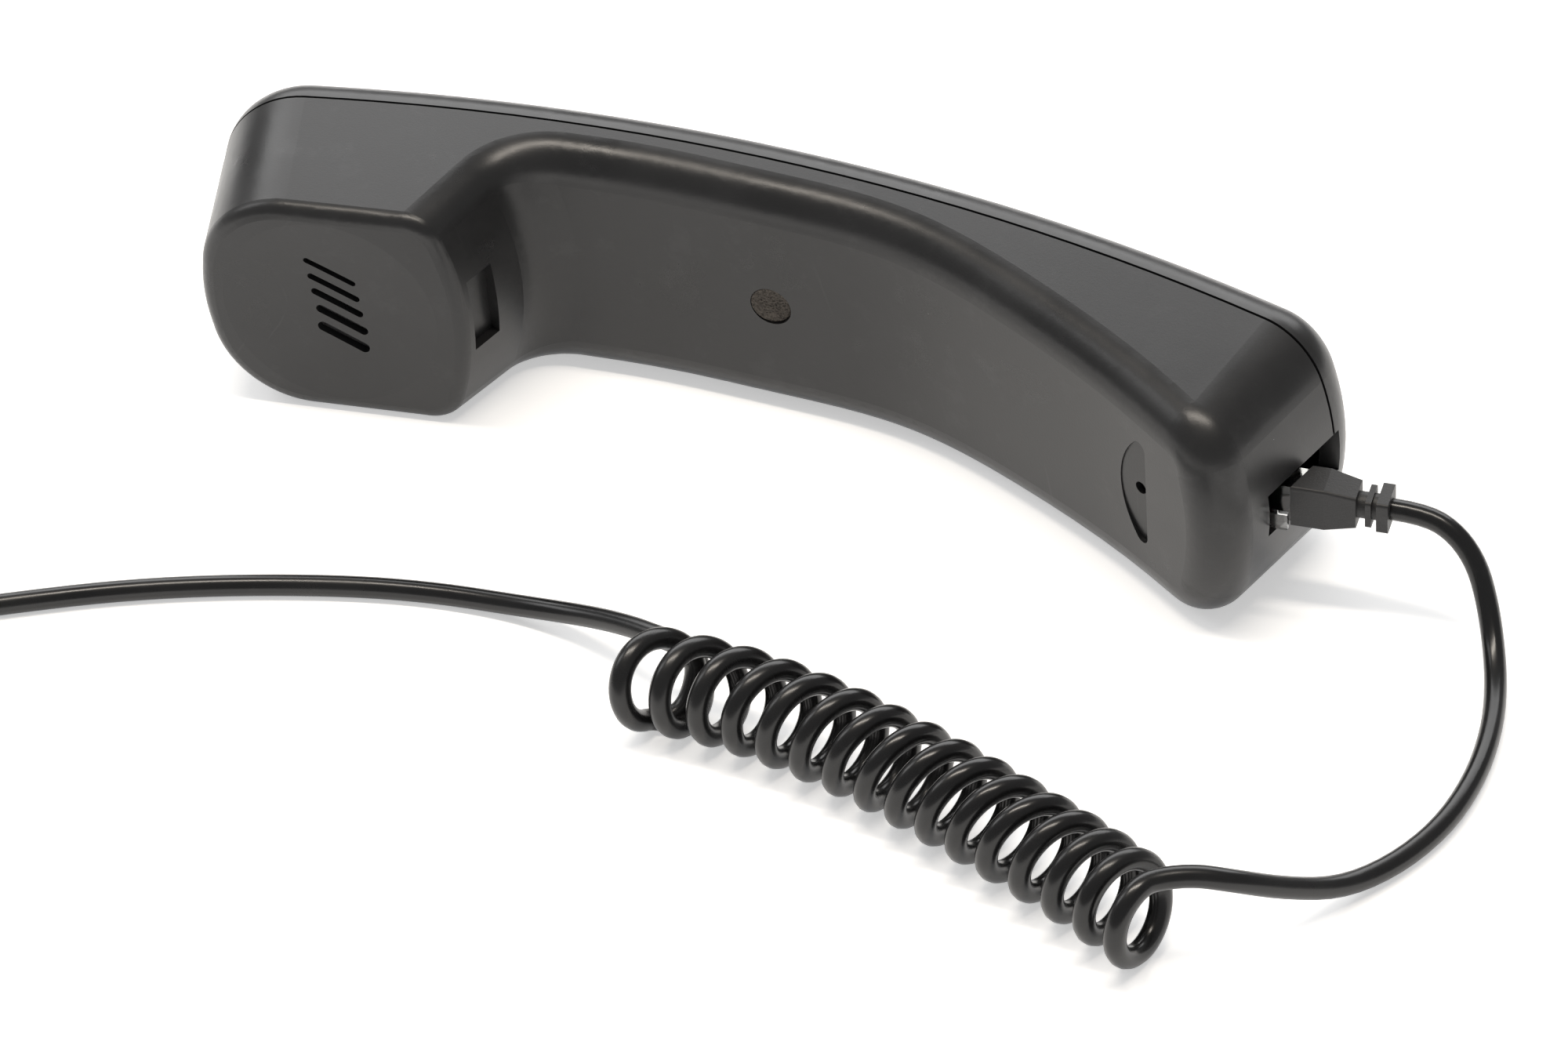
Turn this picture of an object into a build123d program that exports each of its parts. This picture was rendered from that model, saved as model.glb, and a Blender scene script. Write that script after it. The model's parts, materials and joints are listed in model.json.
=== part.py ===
"""Telephone handset with a plug-in curly cord, lying on its side on a table.

The casing is drawn in its own frame: u runs along the handset from the ear end to the mouth end, v from the
ear face towards the back, and w across the width. The whole frame is tipped by the draft angle of the sides,
so that the handset rests on one flat flank.
"""

import os
from math import cos, pi, radians, sin, sqrt, tan

from build123d import *

os.makedirs("parts", exist_ok=True)

# Casing
DRAFT = 3.82
HALF_WIDTH = 24.9
CENTRE_X, CENTRE_Y = 2.41, 20.41
WALL = 2.2
SEAM_GAP = 0.5
SEAM_U, SEAM_V, SEAM_RADIUS = -44.5, 2.4, 392.2
BACK_RISE = 8.9
BACK_ROUND = 8.0
FRONT_ROUND = 7.0
EAR_FACE_ROUND = 2.8
NECK_ROUND = 9.5
EAR_U, EAR_V, EAR_LEAN = -109.0, -2.3, 0.22
MOUTH_U, MOUTH_V, MOUTH_LEAN = 103.2, -27.8, 0.39
EAR_CROWN, MOUTH_CROWN, FLANK_CROWN = 60.0, 42.0, 57.0
GRIP = [(-36, -6.5), (-5, -8.9), (20, -12.9), (45, -24.4), (75, -44.4)]
TONGUE_HEIGHT, TONGUE_THICKNESS, TONGUE_PLAY = 2.0, 1.2, 0.1
BEYOND = 125.0
REST_TRIM = 0.02

# Ear end
RECEIVER_U = -78.9
EAR_FACE_V, EAR_FACE_SLOPE = -28.9, 0.0511
DISH_RADIUS, DISH_DEPTH = 20.0, 0.7
DISH_SPHERE = (DISH_RADIUS**2 + DISH_DEPTH**2) / (2 * DISH_DEPTH)
SLOTS = [(0.9, 9.1, 1.15), (1.2, 5.5, 1.3), (1.45, 2.05, 1.45), (1.9, -1.85, 1.75), (1.75, -5.8, 2.1)]
SLOT_LENGTH, SLOT_ANGLE = 10.3, -28
RECEIVER_RADIUS = 18.0
LOCATING_RING_THICKNESS, LOCATING_RING_HEIGHT = 1.3, 6.0
CATCH_LENGTH, CATCH_WIDTH, CATCH_HEIGHT = 1.6, 5.0, 1.0
TERMINAL_RADIUS = 16.0
GASKET_THICKNESS, GASKET_WIDTH = 1.5, 2.8
FLANGE_THICKNESS, BASKET_HEIGHT, BASKET_SHEET = 1.2, 4.8, 0.8
MAGNET_RADIUS, MAGNET_HEIGHT = 7.0, 3.5
POCKET_LENGTH, POCKET_WIDTH, POCKET_DEPTH = 6.5, 15.4, 2.2

# Handle
SCREW_U, SCREW_W = -2.6, -0.6
PAD_RADIUS, PAD_THICKNESS = 3.85, 0.9
PAD_SEAT_V = -8.0
BOSS_TOP_V = -3.5
BOSS_RADIUS, POST_RADIUS = 4.6, 3.5
SCREW_RADIUS = 1.45
SCREW_HEAD_RADIUS, SCREW_HEAD_HEIGHT, SCREW_LENGTH = 2.75, 1.7, 10.0
BALLAST_LENGTH, BALLAST_WIDTH, BALLAST_THICKNESS = 28.0, 30.0, 5.0
BALLAST_U, BALLAST_V = 18.0, -5.0
BALLAST_SCREWS_U = (8.5, 27.5)
BALLAST_BOSS_RADIUS, BALLAST_SCREW_RADIUS, BALLAST_SCREW_LENGTH = 3.2, 1.25, 8.0

# Mouth end
MIC_U, MIC_V, MIC_W = 73.4, -43.15, 0.4
MIC_HOLE_RADIUS = 1.2
MIC_SEAT = 3.4
MIC_BOOT_RADIUS, MIC_BOOT_LENGTH = 4.75, 5.3
CAPSULE_RADIUS, CAPSULE_LENGTH = 3.0, 2.7
DIMPLE_STEP, DIMPLE_BOW = 2.35, -4.6
DIMPLE_DEEP, DIMPLE_SHALLOW = 1.2, 0.1
DIMPLE_HALF_WIDTH, DIMPLE_CORNER = 13.0, 1.6
PLUG_V, PLUG_W = -37.2, -0.6
CUTOUT_HALF_WIDTH, CUTOUT_BOTTOM_V = 4.45, -44.4
JACK_FRONT_U, JACK_DEPTH = 92.6, 9.2
JACK_TOP_V, JACK_BOTTOM_V = -32.2, -44.7
JACK_WIDTH = 11.2
RAIL_U, RAIL_OFFSET, RAIL_LENGTH, RIB_THICKNESS = 86.2, 6.4, 3.4, 1.2

# Plug: x runs from its nose to the cord, y to the contacts' side and z across its width
PLUG_NOSE_U = 85.2
PLUG_HALF_WIDTH, PLUG_HALF_HEIGHT = 3.8, 2.6
CONTACT_PITCH = 1.02
LATCH_THICKNESS = 1.0
LATCH_HINGE = Vector(2.3, -3.12)
LATCH_BEND = Vector(12.6, -6.9)
LATCH_TIP = Vector(14.6, -6.9)
BOOT_START, BOOT_END = 14.1, 30.8
BOOT_WIDTH, BOOT_HEIGHT = 8.7, 6.6
SPRING_V, PIN_U = -33.55, 81.5
FAR_PLUG_NOSE = (-159.7, -178.4, 3.35)

# Cord
CORD = 3.8
COIL_RADIUS = 7.2
SPARE_COIL_CENTRE = (-136.2, -114.6)
SPARE_COIL_RADIUS = 21.1
WIRE = 0.9

BASE = Plane(
    origin=(CENTRE_X, CENTRE_Y, HALF_WIDTH * cos(radians(DRAFT)) - REST_TRIM),
    x_dir=(1, 0, 0),
    z_dir=(0, -sin(radians(DRAFT)), cos(radians(DRAFT))),
)


def at(u, v, w=0.0):
    return BASE.from_local_coords(Vector(u, v, w))


def side(w=0.0):
    """Plane for a profile in (u, v), facing +w."""
    return BASE.offset(w)


def facing(v):
    """Plane for an outline in (u, w), facing the front of the handset."""
    return Plane(origin=at(0, v), x_dir=BASE.x_dir, z_dir=-BASE.y_dir)


def tilted(u, v, w, normal_u, normal_v):
    """Plane at a point of the casing whose normal lies in the (u, v) plane; its y axis is w."""
    normal = BASE.x_dir * normal_u + BASE.y_dir * normal_v
    return Plane(origin=at(u, v, w), x_dir=BASE.z_dir.cross(normal), z_dir=normal)


def seam_v(u, rise=0.0):
    """The arc that parts the two halves, or a parallel one that lies rise further back."""
    return SEAM_V - SEAM_RADIUS + sqrt((SEAM_RADIUS + rise) ** 2 - (u - SEAM_U) ** 2)


def ear_face_v(u):
    return EAR_FACE_V + EAR_FACE_SLOPE * (u - RECEIVER_U)


def wall_outline(v, inset, ear_corner, mouth_corner):
    half = HALF_WIDTH + v * tan(radians(DRAFT)) - inset
    ear = EAR_U - EAR_LEAN * (v - EAR_V) + inset
    mouth = MOUTH_U + MOUTH_LEAN * (v - MOUTH_V) - inset * sqrt(1 + MOUTH_LEAN**2)
    ear_sag = EAR_CROWN - sqrt(EAR_CROWN**2 - half**2)
    mouth_sag = MOUTH_CROWN - sqrt(MOUTH_CROWN**2 - half**2)
    with BuildSketch(facing(v)) as outline:
        with BuildLine():
            Line((ear + ear_sag, half), (mouth - mouth_sag, half))
            ThreePointArc((mouth - mouth_sag, half), (mouth, 0), (mouth - mouth_sag, -half))
            Line((mouth - mouth_sag, -half), (ear + ear_sag, -half))
            ThreePointArc((ear + ear_sag, -half), (ear, 0), (ear + ear_sag, half))
        make_face()
        fillet(outline.vertices().group_by(Axis.X)[0], ear_corner - inset)
        fillet(outline.vertices().group_by(Axis.X)[-1], mouth_corner - inset)
    return outline.sketch


def walls(inset):
    """Drafted sides and crowned ends, without any front or back."""
    with BuildPart() as prism:
        add(wall_outline(-62, inset, 19, 10))
        add(wall_outline(16, inset, 17, 16))
        loft(ruled=True)
    return prism.part


def band(low, high):
    """Everything between two arcs parallel to the seam."""
    with BuildPart() as slab:
        with BuildSketch(side(-40)):
            with BuildLine():
                ThreePointArc(*[(u, seam_v(u, high)) for u in (-BEYOND, 0, BEYOND)])
                Line((BEYOND, seam_v(BEYOND, high)), (BEYOND, seam_v(BEYOND, low)))
                ThreePointArc(*[(u, seam_v(u, low)) for u in (BEYOND, 0, -BEYOND)])
                Line((-BEYOND, seam_v(-BEYOND, low)), (-BEYOND, seam_v(-BEYOND, high)))
            make_face()
        extrude(amount=80)
    return slab.part


def profile(inset):
    """Back arc, grip curve and ear block, as wide as the casing or wider."""
    rise = BACK_RISE - inset
    flank_sag = FLANK_CROWN - sqrt(FLANK_CROWN**2 - 34**2)
    with BuildPart() as core:
        with BuildSketch(side(-40)):
            with BuildLine():
                ThreePointArc(*[(u, seam_v(u, rise)) for u in (-BEYOND, 0, BEYOND)])
                Line((BEYOND, seam_v(BEYOND, rise)), (110, -72.4 + inset))
                Line((110, -72.4 + inset), (75, -44.4 + inset))
                Spline(*[(u, v + inset) for u, v in reversed(GRIP)], tangents=[(-1, 0.8), (-1, 0)])
                Line((-36, -6.5 + inset), (-BEYOND, -6.5 + inset))
                Line((-BEYOND, -6.5 + inset), (-BEYOND, seam_v(-BEYOND, rise)))
            make_face()
        extrude(amount=80)
        for v in (-40, 2):
            flank = -52.7 + 0.39 * (v + 24.2) - inset
            with BuildSketch(facing(v)):
                with BuildLine():
                    ThreePointArc((flank - flank_sag, -34), (flank, 0), (flank - flank_sag, 34))
                    Polyline((flank - flank_sag, 34), (-BEYOND, 34), (-BEYOND, -34), (flank - flank_sag, -34))
                make_face()
        loft(ruled=True)
        with BuildSketch(side(-45)):
            with BuildLine():
                Polyline(
                    (-130, ear_face_v(-130) + inset),
                    (-40, ear_face_v(-40) + inset),
                    (-40, -60),
                    (-130, -60),
                    close=True,
                )
            make_face()
        extrude(amount=90, mode=Mode.SUBTRACT)
    return core.part


def near(shape, u, v, tolerance):
    """True where a face or an edge has its centre close to a point of the (u, v) plane."""
    centre = BASE.to_local_coords(shape.center())
    return abs(centre.X - u) < tolerance and abs(centre.Y - v) < tolerance


def edge_key(edge):
    return tuple(round(value, 3) for value in (*edge.center(), edge.length))


def case_volume(inset, round_ear_face):
    """The casing as one solid with its outer faces moved in by inset."""
    sides = walls(inset)
    front_and_back = profile(inset)
    with BuildPart() as body:
        add(sides)
        add(front_and_back, mode=Mode.INTERSECT)
        at_neck = body.edges().filter_by(lambda edge: near(edge, -45, -6.5 + inset, 5))
        fillet([edge for edge in at_neck if abs(edge.center().Z - HALF_WIDTH) < 3], NECK_ROUND + inset)
        ear_face = body.faces().filter_by(lambda face: near(face, -78, ear_face_v(-78) + inset, 3))[0]
        ear_edges = {edge_key(edge) for edge in ear_face.edges()}
        front = [
            face
            for face in body.faces()
            if abs(BASE.to_local_coords(face.center()).Z) < 1
            and -60 < BASE.to_local_coords(face.center()).X < 90
            and BASE.to_local_coords(face.center()).Y < 0
            and face.geom_type != GeomType.CYLINDER
        ]
        edges = {}
        for face in front:
            for edge in face.edges():
                edges.setdefault(edge_key(edge), []).append(edge)
        border = [same[0] for key, same in edges.items() if len(same) == 1 and key not in ear_edges]
        fillet(border, FRONT_ROUND - inset)
        if round_ear_face:
            ear_face = body.faces().filter_by(lambda face: near(face, -78, ear_face_v(-78) + inset, 3))[0]
            fillet(ear_face.edges(), EAR_FACE_ROUND)
        back = body.faces().filter_by(GeomType.CYLINDER).sort_by(SortBy.AREA)[-1]
        fillet(back.edges(), BACK_ROUND - inset)
        # the flank that the handset lies on is trimmed to a true plane
        split(bisect_by=Plane.XY)
    return body.part


def write(part, name):
    part.label = name
    export_step(part, f"parts/{name}.step")


def tube(points, diameter):
    """Straight runs joined by arcs, each as large as its two runs allow."""
    points = [Vector(*point) for point in points]
    radii = []
    for before, corner, after in zip(points, points[1:], points[2:]):
        turn = (corner - before).get_angle(after - corner)
        shorter = min((corner - before).length, (after - corner).length)
        radii.append(0.45 * shorter / tan(radians(turn / 2)))
    with BuildPart() as cord:
        with BuildLine() as route:
            FilletPolyline(*points, radius=radii)
        with BuildSketch(Plane(origin=points[0], z_dir=points[1] - points[0])):
            Circle(diameter / 2)
        sweep(path=route.wires()[0])
    length = route.wires()[0].length
    filled = cord.part.volume / (pi * diameter**2 / 4 * length)
    print(f"tube of {diameter} mm: {length:.1f} mm long, radii {min(radii):.1f} to {max(radii):.1f} mm, "
          f"volume {100 * filled:.1f}% of section times length")
    return cord.part


ear_plane = tilted(RECEIVER_U, ear_face_v(RECEIVER_U), 0, EAR_FACE_SLOPE, -1)
ear_inside = ear_plane.offset(-WALL)
ear_section = Plane(origin=ear_inside.origin, x_dir=ear_plane.x_dir, z_dir=-ear_plane.y_dir)
ear_axis = Axis(ear_inside.origin, ear_plane.z_dir)
mic_plane = tilted(MIC_U, MIC_V, MIC_W, -0.625, -0.78)
dimple_slope = (DIMPLE_DEEP - DIMPLE_SHALLOW) / (DIMPLE_STEP - DIMPLE_BOW)
dimple_depth = DIMPLE_DEEP - DIMPLE_STEP * dimple_slope
dimple_floor = tilted(
    MIC_U + 0.625 * dimple_depth,
    MIC_V + 0.78 * dimple_depth,
    MIC_W,
    -0.625 + 0.78 * dimple_slope,
    -0.78 - 0.625 * dimple_slope,
)
pocket_plane = tilted(-51.9, -21.9, 0.5, 0.932, -0.363)

# Casing: both halves are cut from the same hollow body
outer = case_volume(0, True)
inner = case_volume(WALL, False)

with BuildPart() as cavity:
    add(inner)
    with BuildSketch(facing(BOSS_TOP_V)):
        with Locations((SCREW_U, SCREW_W)):
            Circle(BOSS_RADIUS)
    extrude(amount=12, mode=Mode.SUBTRACT)
    with BuildSketch(facing(BALLAST_V)):
        with Locations(*[(u, 0) for u in BALLAST_SCREWS_U]):
            Circle(BALLAST_BOSS_RADIUS)
    extrude(amount=20, mode=Mode.SUBTRACT)
    # rails beside the jack and a rib under it
    with BuildSketch(facing(-34)):
        with Locations(*[(RAIL_U, PLUG_W + sign * RAIL_OFFSET) for sign in (-1, 1)]):
            Rectangle(RAIL_LENGTH, RIB_THICKNESS)
    extrude(amount=30, mode=Mode.SUBTRACT)
    with BuildSketch(facing(JACK_BOTTOM_V - 0.05)):
        with Locations((RAIL_U - 1, PLUG_W)):
            Rectangle(RIB_THICKNESS, 2 * RAIL_OFFSET + 0.2)
    extrude(amount=20, mode=Mode.SUBTRACT)
    # wall behind the hook pocket
    with BuildSketch(pocket_plane.offset(-POCKET_DEPTH - 1.6)):
        Rectangle(POCKET_LENGTH + 3, POCKET_WIDTH + 3)
    extrude(amount=10, mode=Mode.SUBTRACT)

with BuildPart() as front_shell:
    add(outer)
    add(band(-80, 0), mode=Mode.INTERSECT)
    add(cavity.part, mode=Mode.SUBTRACT)
    # locating ring of the receiver, with three catches over its flange
    with BuildSketch(ear_inside.offset(0.2)):
        Circle(RECEIVER_RADIUS + 0.3 + LOCATING_RING_THICKNESS)
        Circle(RECEIVER_RADIUS + 0.3, mode=Mode.SUBTRACT)
    extrude(amount=-0.2 - LOCATING_RING_HEIGHT)
    with BuildSketch(ear_inside.offset(-GASKET_THICKNESS - 1.25)):
        with PolarLocations(RECEIVER_RADIUS + 0.1, 3, start_angle=60):
            Rectangle(CATCH_LENGTH, CATCH_WIDTH)
    extrude(amount=-CATCH_HEIGHT)
    # collar of the microphone
    with BuildSketch(mic_plane.offset(-WALL + 0.5)):
        Circle(MIC_BOOT_RADIUS + 1.25)
        Circle(MIC_BOOT_RADIUS + 0.1, mode=Mode.SUBTRACT)
    extrude(amount=-3.6)
    # dish and slots of the earpiece
    with Locations(ear_plane.offset(DISH_SPHERE - DISH_DEPTH)):
        Sphere(DISH_SPHERE, mode=Mode.SUBTRACT)
    with BuildSketch(ear_plane.offset(2)):
        for u, w, width in SLOTS:
            with Locations((u, w)):
                SlotOverall(SLOT_LENGTH, width, rotation=SLOT_ANGLE)
    extrude(amount=-6, mode=Mode.SUBTRACT)
    # pocket for the hook
    with BuildSketch(pocket_plane.offset(3)):
        Rectangle(POCKET_LENGTH, POCKET_WIDTH)
    extrude(amount=-3 - POCKET_DEPTH, mode=Mode.SUBTRACT)
    # counterbored screw hole: seat of the pad, seat of the head, way for the shank
    for start, radius, depth in (
        (-14, PAD_RADIUS + 0.05, 14 + PAD_SEAT_V),
        (PAD_SEAT_V, SCREW_HEAD_RADIUS + 0.25, 2),
        (PAD_SEAT_V, SCREW_RADIUS + 0.25, 8),
    ):
        with BuildSketch(facing(start)):
            with Locations((SCREW_U, SCREW_W)):
                Circle(radius)
        extrude(amount=-depth, mode=Mode.SUBTRACT)
    with BuildSketch(facing(BALLAST_V)):
        with Locations(*[(u, 0) for u in BALLAST_SCREWS_U]):
            Circle(BALLAST_SCREW_RADIUS + 0.05)
    extrude(amount=3.4, mode=Mode.SUBTRACT)
    # dimple and hole of the microphone
    with BuildSketch(dimple_floor):
        with BuildLine():
            ThreePointArc(
                (DIMPLE_STEP, -DIMPLE_HALF_WIDTH), (DIMPLE_BOW, 0), (DIMPLE_STEP, DIMPLE_HALF_WIDTH)
            )
            Line((DIMPLE_STEP, DIMPLE_HALF_WIDTH), (DIMPLE_STEP, -DIMPLE_HALF_WIDTH))
        face = make_face()
        fillet(face.vertices(), DIMPLE_CORNER)
    extrude(amount=6, mode=Mode.SUBTRACT)
    with BuildSketch(mic_plane.offset(3)):
        Circle(MIC_HOLE_RADIUS)
    extrude(amount=-8, mode=Mode.SUBTRACT)
    # way out for the cord
    with BuildSketch(facing(CUTOUT_BOTTOM_V)):
        with Locations((103, 0)):
            Rectangle(18, 2 * CUTOUT_HALF_WIDTH)
    extrude(amount=-40, mode=Mode.SUBTRACT)
write(front_shell.part, "front_shell")


def rim(outside, inside, low, high):
    """A strip that follows the casing's wall between two arcs parallel to the seam."""
    strip = walls(outside)
    hole = walls(inside)
    between = band(low, high)
    with BuildPart() as loop:
        add(strip)
        add(hole, mode=Mode.SUBTRACT)
        add(between, mode=Mode.INTERSECT)
    return loop.part


tongue = rim(WALL + TONGUE_PLAY, WALL + TONGUE_THICKNESS, -TONGUE_HEIGHT, SEAM_GAP)
tongue_root = rim(WALL - 0.3, WALL + TONGUE_THICKNESS, SEAM_GAP, 1.5)
above_seam = band(SEAM_GAP, 30)
with BuildPart() as back_cover:
    add(outer)
    add(above_seam, mode=Mode.INTERSECT)
    add(inner, mode=Mode.SUBTRACT)
    add(tongue_root)
    add(tongue)
    # the tongue stops short on both sides of the cord's way out
    with BuildSketch(facing(-40)):
        with Locations((100, 0)):
            Rectangle(16, 2 * CUTOUT_HALF_WIDTH)
    extrude(amount=-40 - seam_v(MOUTH_U - WALL, SEAM_GAP), mode=Mode.SUBTRACT)
    # post for the screw
    with BuildSketch(facing(BOSS_TOP_V)):
        with Locations((SCREW_U, SCREW_W)):
            Circle(POST_RADIUS)
    extrude(amount=BOSS_TOP_V - 8)
    with BuildSketch(facing(BOSS_TOP_V)):
        with Locations((SCREW_U, SCREW_W)):
            Circle(SCREW_RADIUS + 0.05)
    extrude(amount=BOSS_TOP_V - 5, mode=Mode.SUBTRACT)
write(back_cover.part, "back_cover")


def screw(u, w, seat_v, forward, head_radius, head_height, shank_radius, length):
    """A cross-head screw; forward is 1 when its head points to the front and -1 when it points back."""
    with BuildPart() as part:
        with BuildSketch(facing(seat_v)):
            with Locations((u, w)):
                Circle(head_radius)
        extrude(amount=forward * head_height)
        with BuildSketch(facing(seat_v)):
            with Locations((u, w)):
                Circle(shank_radius)
        extrude(amount=-forward * length)
        chamfer(part.edges().filter_by(lambda edge: edge.length > 5.5 * head_radius), 0.4)
        with BuildSketch(facing(seat_v - forward * head_height)):
            with Locations((u, w)):
                Rectangle(head_radius * 1.1, 0.6, rotation=20)
                Rectangle(head_radius * 1.1, 0.6, rotation=110)
        extrude(amount=-forward * 0.8, mode=Mode.SUBTRACT)
    return part.part


case_screw = screw(
    SCREW_U, SCREW_W, PAD_SEAT_V + 2, 1, SCREW_HEAD_RADIUS, SCREW_HEAD_HEIGHT, SCREW_RADIUS, SCREW_LENGTH
)
write(case_screw, "case_screw")

with BuildPart() as screw_hole_pad:
    with BuildSketch(facing(PAD_SEAT_V)):
        with Locations((SCREW_U, SCREW_W)):
            Circle(PAD_RADIUS)
    extrude(amount=PAD_THICKNESS)
write(screw_hole_pad.part, "screw_hole_pad")

# Receiver
with BuildPart() as receiver_cloth:
    with BuildSketch(ear_inside):
        Circle(RECEIVER_RADIUS - 3)
    extrude(amount=-0.25)
write(receiver_cloth.part, "receiver_cloth")

with BuildPart() as receiver_gasket:
    with BuildSketch(ear_inside):
        Circle(RECEIVER_RADIUS)
        Circle(RECEIVER_RADIUS - GASKET_WIDTH, mode=Mode.SUBTRACT)
    extrude(amount=-GASKET_THICKNESS)
write(receiver_gasket.part, "receiver_gasket")


def turned(points):
    """A part turned about the earpiece's axis from points of (radius, depth behind the wall)."""
    with BuildPart() as part:
        with BuildSketch(ear_section):
            with BuildLine():
                Polyline(*[(radius, -depth) for radius, depth in points], close=True)
            make_face()
        revolve(axis=ear_axis)
    return part.part


flange_back = GASKET_THICKNESS + FLANGE_THICKNESS
basket_back = flange_back + BASKET_HEIGHT
basket_floor = basket_back - BASKET_SHEET
basket = [
    (RECEIVER_RADIUS, GASKET_THICKNESS), (RECEIVER_RADIUS, flange_back), (14, flange_back), (11, basket_back),
    (0, basket_back), (0, basket_floor), (10.4, basket_floor), (12.4, 2.4), (12.4, 1.9), (13.2, 1.9),
    (13.2, GASKET_THICKNESS),
]
cone = [(13.1, 1.55), (13.1, 1.9), (12.2, 1.9), (5, 4.2), (0, 3.2), (0, 2.9), (5, 3.85), (12.2, 1.55)]
write(turned(basket), "receiver_basket")
write(turned(cone), "receiver_cone")

with BuildPart() as receiver_magnet:
    with BuildSketch(ear_inside.offset(-basket_back)):
        Circle(MAGNET_RADIUS)
    extrude(amount=-MAGNET_HEIGHT)
    chamfer(receiver_magnet.edges().filter_by(GeomType.CIRCLE), 0.4)
write(receiver_magnet.part, "receiver_magnet")

with BuildPart() as receiver_terminal_board:
    with BuildSketch(ear_inside.offset(-flange_back)):
        with Locations((TERMINAL_RADIUS, 0)):
            Rectangle(3, 7)
    extrude(amount=-1)
write(receiver_terminal_board.part, "receiver_terminal_board")

# Microphone
with BuildPart() as microphone_boot:
    with BuildSketch(mic_plane.offset(-WALL)):
        Circle(MIC_BOOT_RADIUS)
    extrude(amount=-MIC_BOOT_LENGTH)
    with BuildSketch(mic_plane.offset(-WALL)):
        Circle(MIC_HOLE_RADIUS)
    extrude(amount=-MIC_BOOT_LENGTH, mode=Mode.SUBTRACT)
    with BuildSketch(mic_plane.offset(-MIC_SEAT)):
        Circle(CAPSULE_RADIUS)
    extrude(amount=-6, mode=Mode.SUBTRACT)
write(microphone_boot.part, "microphone_boot")

with BuildPart() as microphone_capsule:
    with BuildSketch(mic_plane.offset(-MIC_SEAT)):
        Circle(CAPSULE_RADIUS)
    extrude(amount=-CAPSULE_LENGTH)
write(microphone_capsule.part, "microphone_capsule")

# Ballast
with BuildPart() as ballast_plate:
    with BuildSketch(facing(BALLAST_V)):
        with Locations((BALLAST_U, 0)):
            RectangleRounded(BALLAST_LENGTH, BALLAST_WIDTH, 2)
        with Locations(*[(u, 0) for u in BALLAST_SCREWS_U]):
            Circle(BALLAST_SCREW_RADIUS + 0.2, mode=Mode.SUBTRACT)
    extrude(amount=-BALLAST_THICKNESS)
write(ballast_plate.part, "ballast_plate")

for number, u in enumerate(BALLAST_SCREWS_U, start=1):
    plate_top = BALLAST_V + BALLAST_THICKNESS
    ballast_screw = screw(u, 0, plate_top, -1, 2.4, 1.4, BALLAST_SCREW_RADIUS, BALLAST_SCREW_LENGTH)
    write(ballast_screw, f"ballast_screw_{number}")

# Plug, latch and boot, made once for each end of the cord


def section(frame, x):
    """Plane across a plug; its x axis is the plug's width."""
    return Plane(origin=frame.from_local_coords(Vector(x, 0, 0)), x_dir=frame.z_dir, z_dir=frame.x_dir)


def boot_front(y):
    """The boot begins on a plane that leans as the casing's end wall does."""
    return BOOT_START + MOUTH_LEAN * (y + BOOT_HEIGHT / 2)


def write_plug(frame, prefix):
    contact_z = [(index - 1.5) * CONTACT_PITCH for index in range(4)]
    with BuildPart() as behind_front:
        with BuildSketch(frame.offset(-10)):
            with BuildLine():
                Polyline((boot_front(-6), -6), (boot_front(6), 6), (60, 6), (60, -6), close=True)
            make_face()
        extrude(amount=20)

    with BuildPart() as plug_body:
        with BuildSketch(section(frame, 0)):
            Rectangle(2 * PLUG_HALF_WIDTH, 2 * PLUG_HALF_HEIGHT)
        extrude(amount=18)
        nose = plug_body.faces().sort_by(Axis(frame.origin, frame.x_dir))[0]
        chamfer(nose.edges(), 0.4)
        add(behind_front.part, mode=Mode.SUBTRACT)
        for z in contact_z:
            with BuildSketch(frame.offset(z - 0.2)):
                with BuildLine():
                    Polyline((0.6, 0.4), (4.8, 0.4), (4.8, 4), (0.6, 4), close=True)
                make_face()
            extrude(amount=0.4, mode=Mode.SUBTRACT)
    write(plug_body.part, f"{prefix}plug_body")

    with BuildPart() as plug_contacts:
        for z in contact_z:
            with BuildSketch(frame.offset(z - 0.18)):
                with BuildLine():
                    Polyline((0.8, 0.4), (4.6, 0.4), (4.6, 1.5), (3.9, 2.1), (0.8, 2.1), close=True)
                make_face()
            extrude(amount=0.36)
    write(plug_contacts.part, f"{prefix}plug_contacts")

    with BuildPart() as plug_latch:
        for width, points in (
            (3.3, [LATCH_HINGE, LATCH_BEND, LATCH_TIP]),
            (3.9, [LATCH_HINGE, LATCH_HINGE + (LATCH_BEND - LATCH_HINGE) * 0.37]),
        ):
            with BuildSketch(frame.offset(-width / 2)):
                with BuildLine():
                    Polyline(*points)
                trace(line_width=LATCH_THICKNESS)
                with Locations(LATCH_HINGE):
                    Circle(LATCH_THICKNESS / 2)
            extrude(amount=width)
    write(plug_latch.part, f"{prefix}plug_latch")

    with BuildPart() as plug_boot:
        with BuildSketch(section(frame, 12)):
            RectangleRounded(BOOT_WIDTH, BOOT_HEIGHT, 0.5)
        extrude(amount=7.8)
        with BuildSketch(section(frame, 19.8)):
            RectangleRounded(BOOT_WIDTH, BOOT_HEIGHT, 0.5)
        with BuildSketch(section(frame, 25.2)):
            RectangleRounded(6.6, 5.5, 0.5)
        loft(ruled=True)
        add(behind_front.part, mode=Mode.INTERSECT)
        with BuildSketch(section(frame, 25)):
            Circle(2.3)
        extrude(amount=BOOT_END - 25)
        for start, thickness, size in ((26.8, 1.0, 5.5), (BOOT_END - 2, 2.0, 6.3)):
            with BuildSketch(section(frame, start)):
                RectangleRounded(size, size, 0.6)
            extrude(amount=thickness)
    write(plug_boot.part, f"{prefix}plug_boot")


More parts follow.
